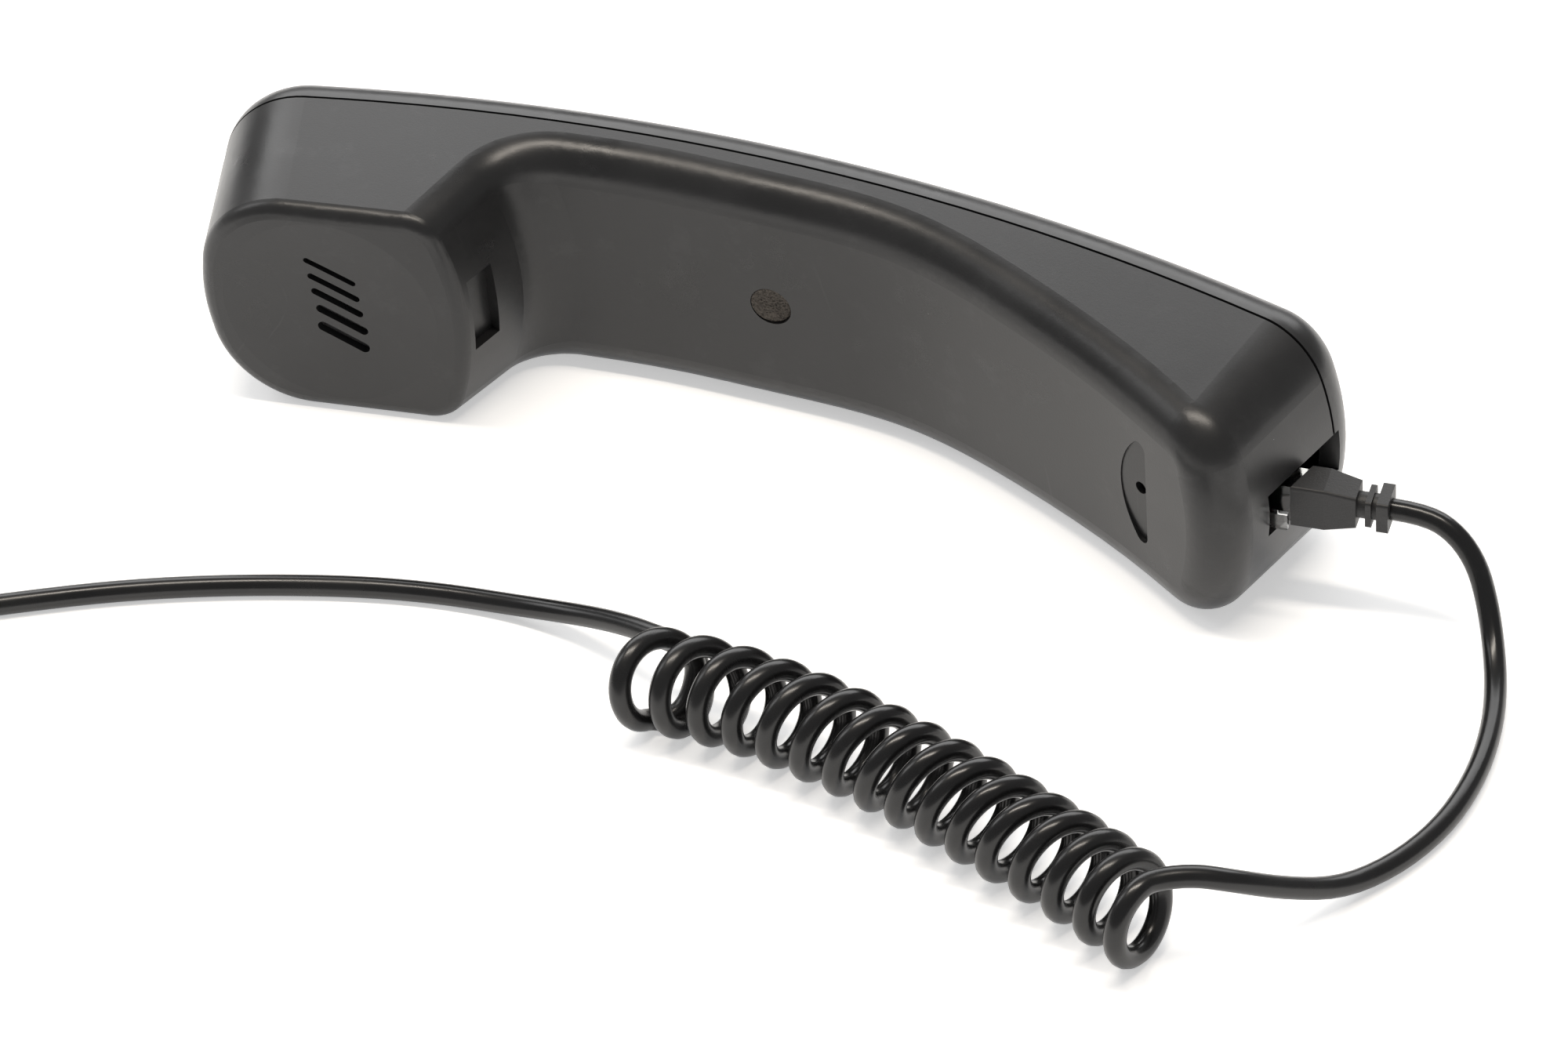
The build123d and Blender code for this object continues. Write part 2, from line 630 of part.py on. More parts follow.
near_plug = Plane(origin=at(PLUG_NOSE_U, PLUG_V, PLUG_W), x_dir=BASE.x_dir, z_dir=BASE.z_dir)
far_plug = Plane(origin=FAR_PLUG_NOSE, x_dir=(0, 1, 0), z_dir=(-1, 0, 0))
write_plug(near_plug, "")
write_plug(far_plug, "far_")

# Jack
with BuildPart() as jack_housing:
    with BuildSketch(facing(JACK_TOP_V)):
        with Locations((JACK_FRONT_U - JACK_DEPTH / 2, PLUG_W)):
            Rectangle(JACK_DEPTH, JACK_WIDTH)
    extrude(amount=JACK_TOP_V - JACK_BOTTOM_V)
    for back_u, front_u, low, high, width in (
        (84.6, 96, -3.0, 2.8, 8.1),
        (86.5, 91.6, -6.3, -3.0, 4.2),
        (91.6, 96, -6.3, -3.0, 3.6),
        (84.6, 91.9, 2.8, 4.0, 4.2),
    ):
        with BuildSketch(side(PLUG_W - width / 2)):
            with BuildLine():
                Polyline(
                    (back_u, PLUG_V + low),
                    (front_u, PLUG_V + low),
                    (front_u, PLUG_V + high),
                    (back_u, PLUG_V + high),
                    close=True,
                )
            make_face()
        extrude(amount=width, mode=Mode.SUBTRACT)
    for index in range(4):
        with BuildSketch(side(PLUG_W + (index - 1.5) * CONTACT_PITCH - 0.17)):
            with BuildLine():
                Polyline(
                    (80, SPRING_V - 0.17),
                    (86, SPRING_V - 0.17),
                    (86, SPRING_V + 0.17),
                    (80, SPRING_V + 0.17),
                    close=True,
                )
            make_face()
        extrude(amount=0.34, mode=Mode.SUBTRACT)
write(jack_housing.part, "jack_housing")

with BuildPart() as jack_contacts:
    for index in range(4):
        with BuildSketch(side(PLUG_W + (index - 1.5) * CONTACT_PITCH - 0.15)):
            with BuildLine():
                Polyline((PIN_U, SPRING_V), (90.8, SPRING_V), (91.5, SPRING_V - 0.4), (88.2, PLUG_V + 2.3))
            trace(line_width=0.3)
        extrude(amount=0.3)
write(jack_contacts.part, "jack_contacts")

# Wires inside, each from its pin of the jack
pins = [(PIN_U, SPRING_V, PLUG_W + (index - 1.5) * CONTACT_PITCH) for index in range(4)]


def receiver_wire(pin, lane, spread, pad):
    """From a pin, along the handle at w = lane, to a pad of the receiver's terminal board."""
    in_casing = [
        pin, (76.5, SPRING_V, pin[2]), (71, -29.3, spread), (64, -22.8, lane - 4), (54, -16.5, lane),
        (34, -7.5, lane), (10, -2.0, lane), (-15, 0.8, lane), (-38, 1.8, lane - 3), (-50, -1.5, lane - 10),
        (-57.5, -9.5, pad + 1.5),
    ]
    board = [
        ear_inside.from_local_coords(Vector(TERMINAL_RADIUS, pad, -depth)) for depth in (9.5, flange_back + 1)
    ]
    return tube([at(*point) for point in in_casing] + board, WIRE)


def microphone_wire(pin, bend_u, lane, lift, pad):
    """From a pin, round the jack's side and up into the cord's way out, and back to the microphone."""
    in_casing = [
        pin, (bend_u, SPRING_V, pin[2]), (bend_u - 0.8, -32.7 + lift, 4.5), (bend_u + 1.2, -32.0 + lift, 8.6),
        (86.0, -33.0 + lift, 9.2 + lift), (90.5, -36.0 + lift, 9.0 + lift),
        (94.0, -39.8 - 0.7 * lift, 7.0 + lift), (93.9, -42.6 - 0.5 * lift, lane),
        (93.0, -45.4 - 0.2 * lift, lane + 0.3), (91.0, -47.5 - lift, lane + 2),
        (88.2, -48.8 - lift, 7.2 + lift), (84.4, -46.9 - lift, 8.9 + lift),
    ]
    back = [
        mic_plane.from_local_coords(Vector(x, y, -depth))
        for x, y, depth in (
            (5.6, 8.6 + lift, 4.2),
            (3, 7.6 + lift, 9.3 + lift),
            (0, pad, 8.6 + lift),
            (0, pad, MIC_SEAT + CAPSULE_LENGTH),
        )
    ]
    return tube([at(*point) for point in in_casing] + back, WIRE)


write(microphone_wire(pins[3], 79.8, 2.2, 0, 1.6), "wire_red")
write(microphone_wire(pins[2], 78.2, 3.6, 1.2, 0.0), "wire_green")
write(receiver_wire(pins[0], 18.3, 1.0, -2), "wire_black")
write(receiver_wire(pins[1], 20.0, 4.6, 2), "wire_yellow")

# Cord: lead, curly part, tail, and the coil of what is put away with the plug on its end
exit_point = near_plug.from_local_coords(Vector(BOOT_END, 0, 0))
far_exit = far_plug.from_local_coords(Vector(BOOT_END, 0, 0))
LEAD = [
    tuple(exit_point), tuple(exit_point + Vector(5.8, 0, 0)), (129.5, -17.8, 19.8), (133.6, -19.6, 15.6),
    (136.2, -22.4, 10.2), (138.5, -27.4, 5.4), (140.7, -35.0, 2.4), (142.3, -45.6, 2), (142.3, -58.1, 1.95),
    (139.9, -71.1, 1.95), (134.5, -82.4, 1.95), (127.5, -91.4, 3), (120.3, -99.8, 8.6), (113.3, -106.2, 14.2),
    (105.9, -108.0, 15.6),
]
COIL_AXIS = [
    (0.8, -75.7), (13.4, -75.8), (26.2, -77.9), (39.4, -81.8), (52.2, -86.8), (64.4, -92.5), (76.6, -98.6),
    (89.5, -105.3), (100.0, -111.8), (106.0, -115.9),
]
TAIL = [
    (6.8, -72.1, 12.4), (-0.2, -67.1, 12), (-8.0, -62.0, 8.2), (-16.5, -57.5, 4.6), (-26.7, -54.5, 2.4),
    (-39.7, -54.3, 1.95), (-52.7, -56.0, 1.95), (-66.7, -58.9, 1.95), (-81.7, -63.0, 1.95),
    (-96.7, -68.4, 1.95), (-111.7, -75.4, 1.95), (-129.2, -84.2, 1.95), (-146.7, -94.0, 1.95),
]
FAR_LEAD = [
    (-157.4, -113.6, 5.3), (-158.5, -126.1, 5.1), tuple(far_exit + Vector(0, 9, 0)), tuple(far_exit),
]
write(tube(LEAD, CORD), "cord_lead")
write(tube([(x, y, COIL_RADIUS + CORD / 2) for x, y in COIL_AXIS], 2 * COIL_RADIUS + CORD), "cord_coil")
write(tube(TAIL, CORD), "cord_tail")
write(tube(FAR_LEAD, CORD), "cord_far_lead")

with BuildPart() as cord_spare_coil:
    with BuildSketch(Plane.XY):
        with Locations(SPARE_COIL_CENTRE):
            Circle(SPARE_COIL_RADIUS + CORD)
            Circle(SPARE_COIL_RADIUS - CORD, mode=Mode.SUBTRACT)
    extrude(amount=7.3)
write(cord_spare_coil.part, "cord_spare_coil")
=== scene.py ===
"""Looks of the telephone handset: cord, foam, tie and every material, with floor, light and camera."""

import json
from math import cos, pi, radians, sin

import bpy
from mathutils import Matrix, Vector, noise


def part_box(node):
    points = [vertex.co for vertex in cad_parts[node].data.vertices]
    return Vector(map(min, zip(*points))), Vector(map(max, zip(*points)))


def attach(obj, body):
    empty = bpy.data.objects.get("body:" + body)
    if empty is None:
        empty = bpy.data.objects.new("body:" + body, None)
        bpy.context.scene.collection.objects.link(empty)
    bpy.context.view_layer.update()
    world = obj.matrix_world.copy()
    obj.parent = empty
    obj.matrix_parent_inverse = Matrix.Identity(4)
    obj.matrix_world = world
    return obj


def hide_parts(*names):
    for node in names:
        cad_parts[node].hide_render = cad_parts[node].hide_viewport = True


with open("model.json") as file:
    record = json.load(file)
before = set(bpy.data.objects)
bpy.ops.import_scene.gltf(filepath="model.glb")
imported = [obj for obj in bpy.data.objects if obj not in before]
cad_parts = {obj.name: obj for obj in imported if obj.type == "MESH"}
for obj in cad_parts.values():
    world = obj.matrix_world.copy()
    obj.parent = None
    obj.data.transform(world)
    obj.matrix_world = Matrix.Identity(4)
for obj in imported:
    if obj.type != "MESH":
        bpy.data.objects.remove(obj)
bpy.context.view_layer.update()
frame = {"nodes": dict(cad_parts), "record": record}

MM = 0.001
DRAFT = radians(3.82)

# Camera
CAMERA = Vector((0.27749, -0.75861, 0.61142))
AIM = Vector((0.01068, -0.01882, 0.0))
LENS = 130.57
ROLL = radians(-3.53)

# Cord, in metres
CORD = 0.0038
CURL_RADIUS = 0.0072
CURL_PITCH = 0.00687
CURL_SHIFT = 0.0021
CURL_START, CURL_END = 195, 5770
LEAN_AT = ((1, -0.35), (4, -0.10), (8, 0.13), (12, 0.02), (16, -0.18))
YAW_AT = ((1, 0.31), (4, 0.20), (8, 0.06), (12, 0.17), (16, -0.18))
CURL_HEIGHT = CURL_RADIUS + CORD / 2
STEPS = 16
SPARE_CENTRE = Vector((-0.1362, -0.1146, 0))
SPARE_START, SPARE_END = 117, 1260
SPARE_OUTER, SPARE_INNER, SPARE_UPPER = 0.0230, 0.0192, 0.0211
LYING, ON_TOP = 0.00195, 0.0053

# Tie and foam
TIE_ANGLE = -38
TIE_HALF_WIDTH, TIE_THICKNESS, TIE_CLEARANCE = 1.6 * MM, 0.53 * MM, 0.02 * MM
FOAM_THICKNESS = 0.9 * MM

# Light
WARM = (1.0, 0.92, 0.82)

LEAD = [
    (0.1295, -0.0178, 0.0198), (0.1336, -0.0196, 0.0156), (0.1362, -0.0224, 0.0102),
    (0.1385, -0.0274, 0.0054), (0.1407, -0.0350, 0.0024), (0.1423, -0.0456, 0.0020),
    (0.1423, -0.0581, 0.00195), (0.1399, -0.0711, 0.00195), (0.1345, -0.0824, 0.00195),
    (0.1275, -0.0914, 0.0030), (0.1203, -0.0998, 0.0086), (0.1133, -0.1062, 0.0142),
    (0.1075, -0.1083, 0.0159),
]
CURL_AXIS = [
    (0.0008, -0.0757), (0.0134, -0.0758), (0.0262, -0.0779), (0.0394, -0.0818), (0.0522, -0.0868),
    (0.0644, -0.0925), (0.0766, -0.0986), (0.0895, -0.1053), (0.1000, -0.1118), (0.1060, -0.1159),
]
TAIL = [
    (0.0088, -0.0775, 0.0020), (0.0111, -0.0751, 0.0030), (0.0121, -0.0727, 0.0055),
    (0.0122, -0.0702, 0.0090), (0.0109, -0.0698, 0.0110), (0.0082, -0.0688, 0.0118),
    (0.0041, -0.0669, 0.0110), (-0.0012, -0.0639, 0.0095), (-0.0085, -0.0602, 0.0070),
    (-0.0165, -0.0570, 0.0043), (-0.0267, -0.0550, 0.0024), (-0.0397, -0.0546, 0.00195),
    (-0.0527, -0.0560, 0.00195), (-0.0667, -0.0589, 0.00195), (-0.0817, -0.0630, 0.00195),
    (-0.0967, -0.0684, 0.00195), (-0.1117, -0.0754, 0.00195), (-0.1292, -0.0842, 0.00195),
]
FAR_LEAD = [(-0.1585, -0.1261, 0.0051)]


def link(obj):
    bpy.context.scene.collection.objects.link(obj)
    return obj


def make_camera():
    data = bpy.data.cameras.new("camera")
    data.lens = LENS
    data.clip_start = 0.01
    back = (CAMERA - AIM).normalized()
    right = Vector((0, 0, 1)).cross(back).normalized()
    level = Matrix((right, back.cross(right), back)).transposed()
    camera = link(bpy.data.objects.new("camera", data))
    camera.matrix_world = Matrix.Translation(CAMERA) @ (level @ Matrix.Rotation(ROLL, 3, "Z")).to_4x4()
    bpy.context.scene.camera = camera


# Curves


def nurbs(name, points, diameter=0.0):
    """A curve object of one open quadratic NURBS spline.

    The points carry its radius, so that the object's box is true.
    """
    curve = bpy.data.curves.new(name, "CURVE")
    curve.dimensions = "3D"
    spline = curve.splines.new("NURBS")
    spline.points.add(len(points) - 1)
    for point, place in zip(spline.points, points):
        point.co = (*place, 1)
        point.radius = diameter / 2
    spline.order_u = 3
    spline.use_endpoint_u = True
    spline.resolution_u = 4
    if diameter:
        curve.bevel_depth = 1.0
        curve.bevel_resolution = 5
    return link(bpy.data.objects.new(name, curve))


def line_of(obj):
    """Points along a curve object's own line."""
    bpy.context.view_layer.update()
    mesh = bpy.data.meshes.new_from_object(obj)
    points = [vertex.co.copy() for vertex in mesh.vertices]
    bpy.data.meshes.remove(mesh)
    return points


def along(points, distance):
    """Place and direction at a distance along a line of points."""
    for first, second in zip(points, points[1:]):
        run = (second - first).length
        if distance <= run or second is points[-1]:
            direction = (second - first).normalized()
            return first + direction * distance, direction
        distance -= run


def control_radius(radius):
    """A quadratic spline runs inside the circle of its control points."""
    return radius * 8 / (6 + 2 * cos(2 * pi / STEPS))


def between(table, turn):
    """Value at a turn, running straight between the rows of a table."""
    turn = min(max(turn, table[0][0]), table[-1][0])
    for (first, low), (second, high) in zip(table, table[1:]):
        if turn <= second:
            return low + (high - low) * (turn - first) / (second - first)


def curl_points():
    """The curl from its last turn back to its first, with angle 0 at the top and 90 at the back.

    Each turn leans along the axis at its top and swings along it at its back, as a slack cord's turns do.
    """
    guide = nurbs("curl_axis", [(x, y, CURL_HEIGHT) for x, y in CURL_AXIS])
    axis = line_of(guide)
    bpy.data.objects.remove(guide)
    radius = control_radius(CURL_RADIUS)
    count = round((CURL_END - CURL_START) / 360 * STEPS)
    points = []
    for step in range(count + 1):
        degrees = CURL_END - (CURL_END - CURL_START) * step / count
        angle = radians(degrees)
        turn = degrees / 360
        slant = CURL_RADIUS * (between(LEAN_AT, turn) * cos(angle) + between(YAW_AT, turn) * sin(angle))
        centre, forward = along(axis, CURL_PITCH * (turn + 0.25) - CURL_SHIFT + slant)
        back = Vector((-forward.y, forward.x, 0))
        points.append(centre + radius * (sin(angle) * back + cos(angle) * Vector((0, 0, 1))))
    return points


def spare_turns():
    """The put-away turns: one outside, one inside, and the last one on top of both."""
    count = round((SPARE_END - SPARE_START) / 360 * STEPS)
    points = []
    for step in range(count + 1):
        degrees = SPARE_START + (SPARE_END - SPARE_START) * step / count
        turned = (degrees - SPARE_START) / 360
        inwards = min(max((turned - 0.8) / 0.4, 0), 1)
        climb = min(max((turned - 1.8) / 0.5, 0), 1)
        radius = SPARE_OUTER + (SPARE_INNER - SPARE_OUTER) * inwards + (SPARE_UPPER - SPARE_INNER) * climb
        height = LYING + (ON_TOP - LYING) * climb
        angle = radians(degrees)
        points.append(SPARE_CENTRE + control_radius(radius) * Vector((cos(angle), sin(angle), 0)))
        points[-1].z = height
    return points


def make_cord():
    low, high = (Vector(corner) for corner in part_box("plug_boot"))
    near_exit = Vector((high.x, (low.y + high.y) / 2, (low.z + high.z) / 2))
    low, high = (Vector(corner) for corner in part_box("far_plug_boot"))
    far_exit = Vector(((low.x + high.x) / 2, high.y, (low.z + high.z) / 2))
    points = [near_exit, near_exit + Vector((0.0058, 0, 0)), *LEAD, *curl_points(), *TAIL, *spare_turns()]
    points += [*FAR_LEAD, far_exit + Vector((0, 0.009, 0)), far_exit]
    cord = nurbs("cord", points, CORD)
    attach(cord, "handset")
    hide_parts("cord_lead", "cord_coil", "cord_tail", "cord_spare_coil", "cord_far_lead")
    return cord, near_exit


make_camera()
cord, near_exit = make_cord()


# Pieces made here


def mesh_piece(name, vertices, faces, body):
    mesh = bpy.data.meshes.new(name)
    mesh.from_pydata(vertices, [], faces)
    mesh.validate()
    mesh.shade_smooth()
    piece = link(bpy.data.objects.new(name, mesh))
    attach(piece, body)
    return piece


def make_foam_pad():
    """Open-cell foam disc in the screw hole, with a pitted face and a soft rim."""
    rings, spokes = 30, 96
    low, high = (Vector(corner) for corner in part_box("screw_hole_pad"))
    centre = (low + high) / 2
    front = Vector((0, -cos(DRAFT), -sin(DRAFT)))
    across = Vector((1, 0, 0))
    upwards = front.cross(across)
    radius = (high.x - low.x) / 2
    face = centre + front * FOAM_THICKNESS / 2
    vertices = [face]
    for ring in range(1, rings + 1):
        reach = radius * ring / rings
        for spoke in range(spokes):
            angle = 2 * pi * spoke / spokes
            place = face + reach * (cos(angle) * across + sin(angle) * upwards)
            pit = noise.noise(place * 2600) + 0.6 * noise.noise(place * 5200)
            edge = max(0, ring / rings - 0.93) / 0.07
            vertices.append(place - front * (0.00012 + 0.00016 * pit + 0.00025 * edge**2))
    for spoke in range(spokes):
        angle = 2 * pi * spoke / spokes
        vertices.append(face - front * FOAM_THICKNESS + radius * (cos(angle) * across + sin(angle) * upwards))
    vertices.append(face - front * FOAM_THICKNESS)
    last = len(vertices) - 1
    faces = []
    for spoke in range(spokes):
        after = (spoke + 1) % spokes
        faces.append((0, 1 + spoke, 1 + after))
        for ring in range(rings):
            inner, outer = 1 + ring * spokes, 1 + (ring + 1) * spokes
            faces.append((inner + spoke, outer + spoke, outer + after, inner + after))
        faces.append((last, last - spokes + after, last - spokes + spoke))
    pad = mesh_piece("foam_pad", vertices, faces, "handset")
    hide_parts("screw_hole_pad")
    return pad


def make_tie():
    """Flat tie round the put-away turns, with its two ends twisted together outside."""
    angle = radians(TIE_ANGLE)
    outwards = Vector((cos(angle), sin(angle), 0))
    tangent = Vector((-sin(angle), cos(angle), 0))
    turns = ((SPARE_OUTER, LYING, -100, 20), (SPARE_UPPER, ON_TOP, 20, 160), (SPARE_INNER, LYING, 160, 260))
    outline = []
    for radius, height, first, last in turns:
        for step in range(9):
            around = radians(first + (last - first) * step / 8)
            outline.append((Vector((radius, height)), Vector((cos(around), sin(around)))))
    vertices = []
    for centre, normal in outline:
        for side in (-1, 1):
            for gap, lowest in ((TIE_CLEARANCE, 0.03 * MM), (TIE_CLEARANCE + TIE_THICKNESS, 0.02 * MM)):
                place = centre + normal * (CORD / 2 + gap)
                raised = Vector((0, 0, max(place.y, lowest)))
                vertices.append(SPARE_CENTRE + outwards * place.x + tangent * side * TIE_HALF_WIDTH + raised)
    faces = []
    count = len(outline)
    for index in range(count):
        here, there = 4 * index, 4 * ((index + 1) % count)
        for first, second in ((0, 1), (1, 3), (3, 2), (2, 0)):
            faces.append((here + first, here + second, there + second, there + first))
    band = mesh_piece("coil_tie", vertices, faces, "handset")
    bevel = band.modifiers.new("rounding", "BEVEL")
    bevel.width = 0.12 * MM
    bevel.segments = 2
    bevel.limit_method = "ANGLE"
    ends = []
    start = SPARE_CENTRE + outwards * 0.0249 + Vector((0, 0, 0.0035))
    for strand in range(2):
        points = []
        for step in range(25):
            around = 2 * pi * step / 8 + pi * strand
            reach = start + outwards * 0.45 * MM * step + Vector((0, 0, -0.05 * MM * step))
            points.append(reach + 0.45 * MM * (cos(around) * tangent + sin(around) * Vector((0, 0, 1))))
        end = nurbs(f"coil_tie_end_{strand + 1}", points, 0.9 * MM)
        end.data.use_fill_caps = True
        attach(end, "handset")
        ends.append(end)
    return [band, *ends]


foam_pad = make_foam_pad()
tie = make_tie()

# Materials


def add_node(tree, kind, inputs=None, **settings):
    """A shader node; each input is a value or another node's output."""
    made = tree.nodes.new("ShaderNode" + kind)
    for name, value in settings.items():
        setattr(made, name, value)
    for name, value in (inputs or {}).items():
        if isinstance(value, bpy.types.NodeSocket):
            tree.links.new(value, made.inputs[name])
        else:
            made.inputs[name].default_value = value
    return made


def noise_map(tree, place, scale, detail=3.0, roughness=0.55):
    inputs = {"Vector": place, "Scale": scale, "Detail": detail, "Roughness": roughness}
    return add_node(tree, "TexNoise", inputs).outputs["Fac"]


def remap(tree, value, low, high, to_low, to_high):
    inputs = {"Value": value, "From Min": low, "From Max": high, "To Min": to_low, "To Max": to_high}
    return add_node(tree, "MapRange", inputs).outputs["Result"]


def calculate(tree, operation, first, second):
    made = add_node(tree, "Math", operation=operation)
    for socket, value in zip(made.inputs, (first, second)):
        if isinstance(value, bpy.types.NodeSocket):
            tree.links.new(value, socket)
        else:
            socket.default_value = value
    return made.outputs[0]


def mix_colour(tree, factor, first, second):
    made = add_node(tree, "Mix", data_type="RGBA")
    for socket, value in ((made.inputs[0], factor), (made.inputs[6], first), (made.inputs[7], second)):
        if isinstance(value, bpy.types.NodeSocket):
            tree.links.new(value, socket)
        else:
            socket.default_value = value
    return made.outputs[2]


def scratches(tree, place, turn, density):
    """Thin faint lines, all within a few degrees of one direction."""
    wobble = add_node(tree, "TexNoise", {"Vector": place, "Scale": 18.0, "Detail": 1.0})
    bent = add_node(tree, "VectorMath", {0: place}, operation="ADD")
    small = add_node(tree, "VectorMath", {0: wobble.outputs["Color"], "Scale": 0.012}, operation="SCALE")
    tree.links.new(small.outputs[0], bent.inputs[1])
    turned = add_node(tree, "Mapping", {"Vector": bent.outputs[0], "Rotation": turn, "Scale": (35, 2600, 35)})
    lines = noise_map(tree, turned.outputs["Vector"], 1.0, 2.0)
    patches = noise_map(tree, place, 30.0, 2.0)
    return calculate(
        tree,
        "MULTIPLY",
        remap(tree, lines, 0.70 - density, 0.76 - density, 0, 1),
        remap(tree, patches, 0.50, 0.68, 0, 1),
    )


def specks(tree, place, scale, size):
    """Dust: one small dot in some of the cells."""
    cells = add_node(tree, "TexVoronoi", {"Vector": place, "Scale": scale, "Randomness": 1.0})
    dots = remap(tree, cells.outputs["Distance"], size, size * 0.5, 0, 1)
    chosen = add_node(tree, "SeparateColor", {"Color": cells.outputs["Color"]}).outputs["Red"]
    return calculate(tree, "MULTIPLY", dots, calculate(tree, "GREATER_THAN", chosen, 0.62))


def grey(level):
    return (level, level, level, 1)


def finish_of(
    name,
    colour,
    roughness,
    metallic=0.0,
    grain=2600.0,
    grain_depth=0.010,
    mottling=0.12,
    wear=0.0,
    dust=0.0,
    scratch=0.0,
    **sockets,
):
    """A principled material with mottled colour, moulded or rolled grain, scratches and dust."""
    material = bpy.data.materials.new(name)
    material.use_nodes = True
    tree = material.node_tree
    shader = tree.nodes["Principled BSDF"]
    shader.inputs["Metallic"].default_value = metallic
    for socket, value in sockets.items():
        shader.inputs[socket.replace("_", " ")].default_value = value
    place = add_node(tree, "TexCoord").outputs["Object"]
    broad = noise_map(tree, place, 45.0, 4.0)
    fine = noise_map(tree, place, grain, 2.0)
    darker = tuple(value * (1 - mottling) for value in colour) + (1,)
    lighter = tuple(min(value * (1 + mottling) + 0.002, 1) for value in colour) + (1,)
    shade = mix_colour(tree, remap(tree, broad, 0.35, 0.65, 0, 1), darker, lighter)
    rough = remap(tree, broad, 0.3, 0.7, roughness - 0.04, roughness + 0.05)
    height = fine
    if wear:
        rubbed = remap(tree, noise_map(tree, place, 130.0, 5.0, 0.7), 0.56, 0.70, 0, wear)
        shade = mix_colour(tree, rubbed, shade, tuple(min(value * 1.7 + 0.01, 1) for value in colour) + (1,))
        rough = calculate(tree, "SUBTRACT", rough, calculate(tree, "MULTIPLY", rubbed, 0.10))
    if scratch:
        lines = calculate(
            tree,
            "MAXIMUM",
            scratches(tree, place, (0.3, 0.1, 0.5), 0.02),
            scratches(tree, place, (1.2, 0.4, -0.4), 0.0),
        )
        lines = calculate(tree, "MULTIPLY", lines, scratch)
        shade = mix_colour(tree, lines, shade, tuple(min(value * 2.2 + 0.03, 1) for value in colour) + (1,))
        rough = calculate(tree, "ADD", rough, calculate(tree, "MULTIPLY", lines, 0.12))
        height = calculate(tree, "SUBTRACT", height, calculate(tree, "MULTIPLY", lines, 0.5))
    if dust:
        dots = calculate(tree, "MAXIMUM", specks(tree, place, 95.0, 0.012), specks(tree, place, 210.0, 0.020))
        dots = calculate(tree, "MULTIPLY", dots, dust)
        shade = mix_colour(tree, dots, shade, grey(0.42))
        rough = calculate(tree, "ADD", rough, calculate(tree, "MULTIPLY", dots, 0.35))
    bump = add_node(tree, "Bump", {"Height": height, "Strength": 1.0, "Distance": grain_depth * MM})
    tree.links.new(shade, shader.inputs["Base Color"])
    tree.links.new(rough, shader.inputs["Roughness"])
    tree.links.new(bump.outputs["Normal"], shader.inputs["Normal"])
    return material


def woven(name, colour, threads):
    """Cloth with threads both ways, threads of them to the metre."""
    material = finish_of(name, colour, 0.85)
    tree = material.node_tree
    shader = tree.nodes["Principled BSDF"]
    shader.inputs["Sheen Weight"].default_value = 0.25
    place = add_node(tree, "TexCoord").outputs["Object"]
    waves = []
    for direction in ("X", "Z"):
        inputs = {"Vector": place, "Scale": threads / 2, "Distortion": 0.6, "Detail": 1.0}
        wave = add_node(tree, "TexWave", inputs, wave_type="BANDS", bands_direction=direction)
        waves.append(wave.outputs["Fac"])
    weave = calculate(tree, "MAXIMUM", *waves)
    bump = add_node(tree, "Bump", {"Height": weave, "Strength": 0.8, "Distance": 0.05 * MM})
    tree.links.new(bump.outputs["Normal"], shader.inputs["Normal"])
    return material


def open_foam(name):
    """Brown-grey foam whose open cells are darkened with painted shade in the pits."""
    material = finish_of(name, (0.055, 0.046, 0.038), 0.9)
    tree = material.node_tree
    shader = tree.nodes["Principled BSDF"]
    place = add_node(tree, "TexCoord").outputs["Object"]
    cells = add_node(tree, "TexVoronoi", {"Vector": place, "Scale": 2600.0}, feature="SMOOTH_F1")
    # one mask gives both the pit depth for the bump and the painted shade in the pits
    pit_depth_and_shade = remap(tree, cells.outputs["Distance"], 0.15, 0.55, 0, 1)
    patches = remap(tree, noise_map(tree, place, 900.0, 4.0, 0.7), 0.35, 0.65, 0, 1)
    # painted shade: the colour darkens towards each cell's centre, where the pit is deepest
    shade = mix_colour(tree, pit_depth_and_shade, (0.018, 0.015, 0.012, 1), (0.080, 0.068, 0.057, 1))
    shade = mix_colour(tree, patches, shade, mix_colour(tree, 0.5, shade, (0.110, 0.095, 0.080, 1)))
    bump = add_node(tree, "Bump", {"Height": pit_depth_and_shade, "Strength": 0.9, "Distance": 0.12 * MM})
    tree.links.new(shade, shader.inputs["Base Color"])
    tree.links.new(bump.outputs["Normal"], shader.inputs["Normal"])
    return material


def clear_plastic(name):
    """Clear polycarbonate with faint moulding marks."""
    return finish_of(
        name,
        (0.90, 0.92, 0.92),
        0.10,
        grain=900.0,
        grain_depth=0.006,
        mottling=0.02,
        Transmission_Weight=1.0,
        IOR=1.58,
    )


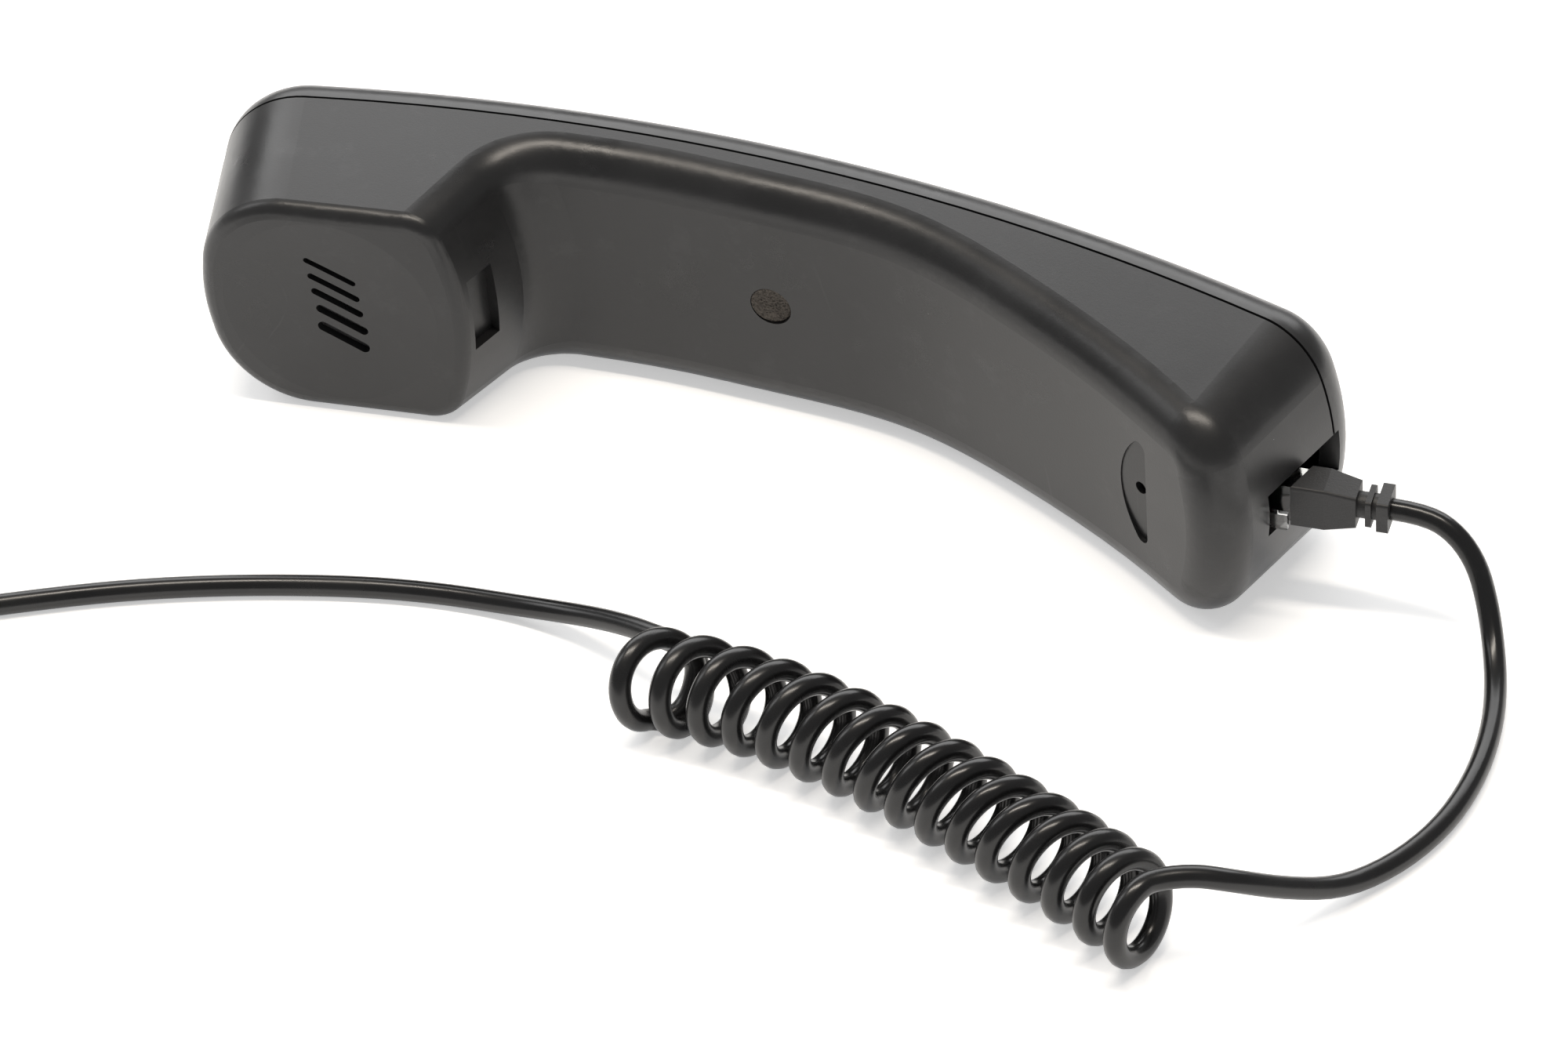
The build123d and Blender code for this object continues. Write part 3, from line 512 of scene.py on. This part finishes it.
CASE = dict(colour=(0.0150, 0.0150, 0.0157), roughness=0.31, wear=0.30, dust=0.7, scratch=0.3)
METAL = dict(metallic=1.0, grain=900.0, grain_depth=0.012, wear=0.5, scratch=0.6)
WIRE = dict(roughness=0.32, grain=500.0, grain_depth=0.02, mottling=0.08, wear=0.25)
MATERIALS = {
    "case": finish_of("case_plastic", **CASE),
    "cover": finish_of("cover_plastic", **{**CASE, "roughness": 0.30, "grain_depth": 0.006}),
    "screw": finish_of("zinc_plated_steel", (0.50, 0.50, 0.52), 0.32, **METAL),
    "foam": open_foam("open_cell_foam"),
    "cloth": woven("receiver_cloth", (0.03, 0.03, 0.03), 2200.0),
    "tin": finish_of("tinned_steel", (0.62, 0.62, 0.60), 0.30, **METAL),
    "diaphragm": finish_of(
        "diaphragm_film", (0.75, 0.72, 0.60), 0.20, grain=700.0, grain_depth=0.02, wear=0.2
    ),
    "magnet": finish_of("nickel_plate", (0.55, 0.53, 0.50), 0.24, **METAL),
    "board": finish_of("laminate_board", (0.30, 0.22, 0.09), 0.5, grain=1500.0, mottling=0.25, wear=0.3),
    "rubber": finish_of("soft_rubber", (0.026, 0.026, 0.027), 0.7, grain=1800.0, grain_depth=0.02, dust=0.6),
    "steel": finish_of("sheared_steel", (0.42, 0.42, 0.44), 0.42, **METAL),
    "jack": finish_of("jack_plastic", (0.022, 0.022, 0.023), 0.45, wear=0.3, dust=0.4),
    "gold": finish_of("gold_plate", (0.86, 0.64, 0.28), 0.22, **METAL),
    "wire_red": finish_of("red_insulation", (0.42, 0.015, 0.012), **WIRE),
    "wire_green": finish_of("green_insulation", (0.012, 0.20, 0.09), **WIRE),
    "wire_black": finish_of("black_insulation", (0.02, 0.02, 0.02), **WIRE),
    "wire_yellow": finish_of("yellow_insulation", (0.62, 0.42, 0.03), **WIRE),
    "clear": clear_plastic("clear_polycarbonate"),
    "boot": finish_of(
        "matt_boot_plastic", (0.019, 0.019, 0.020), 0.50, grain_depth=0.040, wear=0.4, dust=0.9
    ),
    "cord": finish_of(
        "cord_jacket",
        (0.0070, 0.0070, 0.0074),
        0.25,
        grain=700.0,
        grain_depth=0.010,
        wear=0.3,
        dust=1.0,
        scratch=0.2,
    ),
}


def paint(obj, slot):
    obj.data.materials.clear()
    obj.data.materials.append(MATERIALS[slot])


for row in frame["record"]["subparts"]:
    node_object = frame["nodes"][row["node"]]
    for index in range(len(node_object.material_slots)):
        node_object.material_slots[index].material = MATERIALS[row["material_slot"]]
paint(cord, "cord")
paint(foam_pad, "foam")
for piece in tie:
    paint(piece, "boot")

# Floor and light


def make_floor():
    size = 4.0
    mesh = bpy.data.meshes.new("floor")
    corners = [(-size, -size, 0), (size, -size, 0), (size, size, 0), (-size, size, 0)]
    mesh.from_pydata(corners, [], [(0, 1, 2, 3)])
    floor = link(bpy.data.objects.new("floor", mesh))
    material = bpy.data.materials.new("white_floor")
    material.use_nodes = True
    shader = material.node_tree.nodes["Principled BSDF"]
    shader.inputs["Base Color"].default_value = grey(0.92)
    shader.inputs["Roughness"].default_value = 0.9
    shader.inputs["Specular IOR Level"].default_value = 0.1
    shader.inputs["Emission Color"].default_value = grey(1.0)
    shader.inputs["Emission Strength"].default_value = 0.46
    mesh.materials.append(material)


def make_light(name, place, target, width, height, watts, colour=(1.0, 1.0, 1.0)):
    data = bpy.data.lights.new(name, "AREA")
    data.shape = "RECTANGLE"
    data.size = width
    data.size_y = height
    data.energy = watts
    data.color = colour
    light = link(bpy.data.objects.new(name, data))
    light.location = place
    light.rotation_euler = (Vector(target) - Vector(place)).to_track_quat("-Z", "Y").to_euler()


def make_world(strength):
    world = bpy.data.worlds.new("studio")
    world.use_nodes = True
    background = world.node_tree.nodes["Background"]
    background.inputs["Color"].default_value = grey(1.0)
    background.inputs["Strength"].default_value = strength
    bpy.context.scene.world = world


make_floor()
make_world(0.27)
make_light("top_softbox", (0.0, -0.08, 1.1), (0, -0.03, 0), 0.9, 0.11, 8, WARM)
make_light("back_softbox", (-0.25, 1.0, 0.78), (0, 0, 0), 1.9, 0.7, 12.5)
make_light("left_softbox", (-1.0, 0.0, 0.75), (0, -0.05, 0), 0.4, 0.6, 2)
bpy.context.scene.view_settings.view_transform = "Standard"
